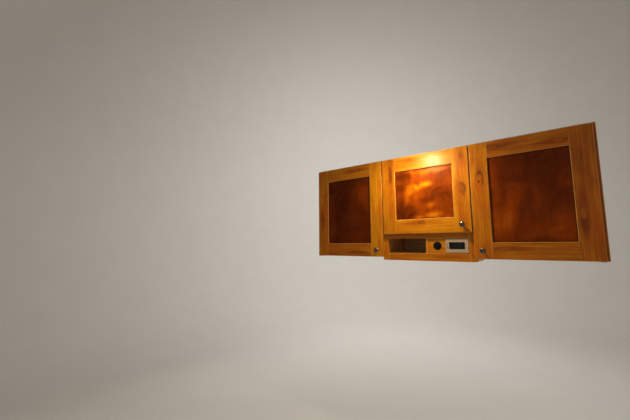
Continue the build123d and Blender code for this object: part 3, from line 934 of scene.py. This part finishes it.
# Screws
bracket_screw_places = (22 * mm, 46 * mm)   # up from the lower bracket's foot, down from the upper's top
leaf_screw_places = (26 * mm, 50 * mm)   # from the leaf's end at the pin
rail_screw_height = 35 * mm   # middle of a pair, above the foot of its hanging rail
rail_screw_spread = 18 * mm   # from the middle of a pair to each screw
row_count = 4
side_row_inset = 30 * mm
back_row_inset = 25 * mm
rail_clearance = 5 * mm
head_radius = {"bracket": 3.4, "leaf": 3.0, "side": 4.0, "back": 3.2, "rail": 4.2}   # in mm


def rail_pair(rail):
    """The heights of the two screws that go into a hanging rail."""
    middle = rail[0].z + rail_screw_height
    return middle - rail_screw_spread, middle + rail_screw_spread


def hinge_screws(name):
    """A door's bracket screws, and the screws in its upper and lower leaf."""
    low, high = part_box(f"{name}_hinge_brackets")
    x = (low.x + high.x) / 2
    heights = [low.z + place for place in bracket_screw_places]
    heights += [high.z - place for place in bracket_screw_places]
    bracket = [(x, frame_front, z) for z in heights]
    low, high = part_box(f"{name}_door_hinge_leaves")
    y = (low.y + high.y) / 2
    if name == "right":
        places = [high.x - place for place in leaf_screw_places]
    else:
        places = [low.x + place for place in leaf_screw_places]
    top = [(x, y, high.z) for x in places]
    foot = [(x, y, low.z) for x in places]
    return [
        (f"{name}_bracket_screws", bracket, (0, -1, 0), head_radius["bracket"], "cabinet"),
        (f"{name}_leaf_screws_top", top, (0, 0, 1), head_radius["leaf"], f"{name}_door"),
        (f"{name}_leaf_screws_foot", foot, (0, 0, -1), head_radius["leaf"], f"{name}_door"),
    ]


def side_screws(name, side):
    """Screws through an end panel, into its floor and into both hanging rails."""
    low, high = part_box(f"{name}_compartment_floor")
    x, z = side * cad_high.x, (low.z + high.z) / 2
    row = evenly(low.y + side_row_inset, high.y - side_row_inset, row_count)
    spots = [(x, y, z) for y in row]
    for rail in (upper_rail, lower_rail):
        y = (rail[0].y + rail[1].y) / 2
        spots += [(x, y, z) for z in rail_pair(rail)]
    return f"{name}_side_screws", spots, (side, 0, 0), head_radius["side"], "cabinet"


def back_screws():
    """Screws through the back panel, into the partitions and the floors that no hanging rail covers."""
    foot, head = lower_rail[1].z, upper_rail[0].z
    spots = []
    for low, high in partitions:
        x = (low.x + high.x) / 2
        row = evenly(foot + back_row_inset, head - back_row_inset, row_count)
        spots += [(x, back_face, z) for z in row]
    for floor in ("left_compartment", "middle_compartment", "right_compartment", "cubby"):
        low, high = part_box(f"{floor}_floor")
        z = (low.z + high.z) / 2
        below_rails = z < lower_rail[0].z - rail_clearance
        between_rails = foot + rail_clearance < z < head - rail_clearance
        if below_rails or between_rails:
            row = evenly(low.x + back_row_inset, high.x - back_row_inset, row_count)
            spots += [(x, back_face, z) for x in row]
    return "back_screws", spots, (0, 1, 0), head_radius["back"], "cabinet"


def rail_screws():
    """Pairs of screws through the hanging rails into the partitions."""
    spots = []
    for rail in (upper_rail, lower_rail):
        for low, high in partitions:
            x = (low.x + high.x) / 2
            spots += [(x, wall_face, z) for z in rail_pair(rail)]
    return "hanging_rail_screws", spots, (0, 1, 0), head_radius["rail"], "cabinet"


def make_screws(tree):
    """Screws of the hinges, the boards and the back, in rows."""
    plated = brushed_metal("screw_zinc", colour(196, 190, 172), 0.28)
    head = unit_screw()
    rows = []   # name, spots, facing, head radius in mm, body
    for name in door_names:
        rows += hinge_screws(name)
    rows += [side_screws("left", -1), side_screws("right", 1), back_screws(), rail_screws()]
    for number, (name, spots, facing, radius, body) in enumerate(rows):
        set_on_points(
            tree, name, spots, head, facing, plated, body,
            size=radius, turn=2 * math.pi, seed=number,
        )


# Outlet's cap
cap_ring_share = 0.62   # the ring's radius as a share of the cap's
cap_ring_half_width = 0.8 * mm
cap_ring_height = 0.5 * mm
cap_ring_sunk = 0.3 * mm
cap_ring_steps = 8
cap_rib_count = 36
cap_rib_sunk = 0.25 * mm
cap_rib_behind_face = 1.9 * mm
cap_rib_scale = 0.9
cap_rib_profile = [(0, -1.0), (0.5, -0.8), (0.6, 0), (0.5, 0.8), (0, 1.0)]   # radius and height in mm


def make_outlet_details(tree):
    """A raised ring on the cap and grip ribs round its rim."""
    low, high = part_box("outlet_cap")
    centre = (low + high) / 2
    rubber = moulded("cap_grip", colour(24, 22, 21), colour(8, 8, 8), 0.55, gloss=0.2)
    radius = (high.x - low.x) / 2
    outwards = Matrix.Translation((centre.x, low.y, centre.z)) @ Matrix.Rotation(math.pi / 2, 4, "X")

    ring = radius * cap_ring_share
    outer_foot = (ring + cap_ring_half_width, -cap_ring_sunk)
    inner_foot = (ring - cap_ring_half_width, -cap_ring_sunk)
    crown = []
    for i in range(cap_ring_steps + 1):
        angle = math.pi * i / cap_ring_steps
        crown.append((ring + cap_ring_half_width * math.cos(angle), cap_ring_height * math.sin(angle)))
    shape = bmesh.new()
    lathe(shape, [outer_foot] + crown + [inner_foot, outer_foot], 64, outwards)
    bmesh.ops.remove_doubles(shape, verts=shape.verts, dist=merge_distance)
    add_piece("cap_ring", finished_mesh("cap_ring", shape), "cabinet", rubber)

    rib = bmesh.new()
    lathe(rib, [(out * mm, up * mm) for out, up in cap_rib_profile], 8, Matrix.Identity(4))
    reach = radius - cap_rib_sunk
    spots = []
    for i in range(cap_rib_count):
        angle = 2 * math.pi * i / cap_rib_count
        x, z = centre.x + reach * math.cos(angle), centre.z + reach * math.sin(angle)
        spots.append((x, low.y + cap_rib_behind_face, z))
    form = form_object("unit_rib", rib)
    set_on_points(
        tree, "cap_ribs", spots, form, (0, 1, 0), rubber, "cabinet",
        size=cap_rib_scale, seed=1,
    )


# Display
button_radius = 2.6 * mm
button_sunk = 1.0 * mm
button_round = 0.5 * mm
button_round_up = 0.3 * mm
button_dish = [(1.2 * mm, 0.62 * mm), (0, 0.5 * mm)]   # a shallow hollow for the fingertip
button_pitch = 11 * mm
digit_height = 17 * mm
digit_width = 9 * mm
digit_stroke = 1.8 * mm
digit_thickness = 0.2 * mm
digit_proud = 0.12 * mm
digit_gap = 0.3 * mm   # how much shorter a stroke is at each end
digit_places = [(-19 * mm, "1"), (-5 * mm, "2"), (13 * mm, "6")]   # from the screen's middle
point_place = 4 * mm
point_width = 2.6 * mm
lit_strokes = {"1": "bc", "2": "abged", "6": "acdefg"}   # which of its seven strokes a digit shows
strokes = {   # x and z in digit widths and heights from its middle, then whether it stands up
    "a": (0, 0.5, False), "b": (0.5, 0.25, True), "c": (0.5, -0.25, True), "d": (0, -0.5, False),
    "e": (-0.5, -0.25, True), "f": (-0.5, 0.25, True), "g": (0, 0, False),
}


def add_stroke(shape, x, y, z, length, upright):
    """Adds one flat stroke of a digit, pointed at both ends."""
    half, thick = length / 2 - digit_gap, digit_stroke / 2
    outline = [(-half, 0), (thick - half, thick), (half - thick, thick), (half, 0),
               (half - thick, -thick), (thick - half, -thick)]
    if upright:
        outline = [(b, a) for a, b in outline]
    front = [shape.verts.new((x + a, y, z + b)) for a, b in outline]
    back = [shape.verts.new((x + a, y + digit_thickness, z + b)) for a, b in outline]
    shape.faces.new(front)
    shape.faces.new(back[::-1])
    for i in range(len(front)):
        j = (i + 1) % len(front)
        shape.faces.new([front[j], front[i], back[i], back[j]])


def make_display_details(tree):
    """Three buttons beside the screen, and plain digits on its glass."""
    low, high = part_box("display_screen")
    plate_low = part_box("display_bezel")[0]
    centre_x, centre_z = (low.x + high.x) / 2, (low.z + high.z) / 2

    grey = moulded("button_grey", colour(96, 94, 92), colour(58, 56, 55), 0.45)
    profile = [(0, -button_sunk), (button_radius, -button_sunk)]
    profile += arc(button_radius - button_round, button_round_up, button_round, 0, 80, 5)
    button = bmesh.new()
    lathe(button, profile + button_dish, 32, Matrix.Identity(4))
    x = (plate_low.x + low.x) / 2
    spots = [(x, plate_low.y, centre_z + step * button_pitch) for step in (-1, 0, 1)]
    form = form_object("unit_button", button)
    set_on_points(
        tree, "display_buttons", spots, form, (0, -1, 0), grey, "cabinet", seed=2
    )

    faint = moulded("display_digits", colour(48, 60, 58), colour(38, 50, 48), 0.3, grain=300, gloss=0.2)
    shape = bmesh.new()
    y = low.y - digit_proud
    for offset, digit in digit_places:
        for letter in lit_strokes[digit]:
            a, b, upright = strokes[letter]
            x, z = centre_x + offset + a * digit_width, centre_z + b * digit_height
            add_stroke(shape, x, y, z, digit_height / 2 if upright else digit_width, upright)
    add_stroke(shape, centre_x + point_place, y, centre_z - digit_height / 2, point_width, False)
    add_piece("display_digits", finished_mesh("display_digits", shape), "cabinet", faint)


def make_camera():
    """The photograph's camera: its place from the left door's top corner, and its turn."""
    corner = Vector((left_stile_low.x, door_front, left_stile_high.z))
    yaw, pitch, roll = (math.radians(angle) for angle in (camera_yaw, camera_pitch, camera_roll))
    forward = Vector((
        -math.sin(yaw) * math.cos(pitch), math.cos(yaw) * math.cos(pitch), math.sin(pitch),
    ))
    right = Vector((math.cos(yaw), math.sin(yaw), 0))
    up = right.cross(forward)
    turned_right = right * math.cos(roll) + up * math.sin(roll)
    turned_up = up * math.cos(roll) - right * math.sin(roll)
    camera = add_object("camera", bpy.data.cameras.new("camera"))
    camera.data.sensor_width = sensor_width
    camera.data.lens = focal_pixels / image_width * sensor_width
    camera.data.clip_start = 10 * mm
    axes = Matrix((turned_right, turned_up, -forward)).transposed()
    camera.matrix_world = Matrix.Translation(corner + camera_from_corner * doors_width) @ axes.to_4x4()
    bpy.context.scene.camera = camera


def make_stage():
    """A pale floor that sweeps up into a round wall and a dome."""
    finish = Finish("pale_floor")
    x, y, z = finish.place()
    mottle = finish.noise(x * 3, y * 3, z * 3, 3)
    finish.surface(
        Base_Color=finish.mix(mottle, colour(226, 223, 218), colour(232, 230, 226)),
        Roughness=0.75 + (mottle - 0.5) * 0.1,
    )
    ground = cad_low.z - floor_below_cabinet
    profile = [(0, 0), (sweep_radius / 2, 0)]
    profile += arc(sweep_radius, sweep_bend, sweep_bend, -90, 0, 16)
    profile += arc(0, sweep_bend + sweep_wall, sweep_radius + sweep_bend, 0, 90, 24)
    shape = bmesh.new()
    lathe(shape, profile, 96, Matrix.Translation((0, 0, ground)))
    mesh = bpy.data.meshes.new("sweep")
    shape.to_mesh(mesh)
    shape.free()
    mesh.materials.append(finish.material)
    add_object("sweep", mesh)


def make_lights():
    """A small warm light before the middle door's top and soft boxes round the cabinet."""
    front = Vector((0, door_front, (cad_low.z + cad_high.z) / 2))
    far_wall, near_wall = (-3.6, 5.0, 0.4), (2.5, -6.0, 0.4)
    boxes = [   # name, place, what it faces, width, height, watts, colour
        ("glow", (0.0, -0.55, 0.328), (0, -0.34, -0.25), 0.06, 0.03, 3.8, (1.0, 0.84, 0.50)),
        ("key", (-0.25, -1.60, 1.10), front, 0.9, 0.6, 1.2, (1.0, 0.80, 0.55)),
        ("fill", (1.0, -3.2, 0.8), front, 1.8, 1.8, 1.0, (1.0, 0.82, 0.60)),
        ("left", (-2.6, 0.2, 0.5), front, 1.4, 1.6, 10, (1.0, 0.95, 0.88)),
        ("right", (2.6, 0.2, 0.6), front, 1.4, 1.6, 10, (1.0, 0.95, 0.88)),
        ("top", (0.0, 0.6, 2.3), (0, 0.3, 0), 2.2, 1.4, 20, (1.0, 0.96, 0.90)),
        ("under", (0.3, -1.4, -1.2), front, 1.6, 1.0, 0.6, (1.0, 0.85, 0.65)),
        ("behind", (0.8, 2.6, 1.4), front, 1.8, 1.4, 18, (1.0, 0.98, 0.95)),
        ("backdrop", (-1.2, 1.7, 1.9), far_wall, 2.0, 2.0, 80, (1.0, 0.98, 0.95)),
        ("front_wall", (0.8, -2.4, 1.9), near_wall, 2.0, 2.0, 12, (1.0, 0.98, 0.95)),
    ]
    for name, place, aim, width, height, watts, tint in boxes:
        light = bpy.data.lights.new(name, "AREA")
        light.shape = "RECTANGLE"
        light.size, light.size_y = width, height
        light.energy = watts
        light.color = tint
        source = add_object(name, light)
        source.location = place
        source.rotation_mode = "QUATERNION"
        source.rotation_quaternion = (Vector(aim) - source.location).to_track_quat("-Z", "Y")
        source.visible_camera = False


make_camera()
make_stage()
make_lights()
bpy.context.scene.view_settings.view_transform = "Standard"
dress_frame()
dress_fittings()
make_knobs()
scatter = scatter_tree()
make_screws(scatter)
make_outlet_details(scatter)
make_display_details(scatter)
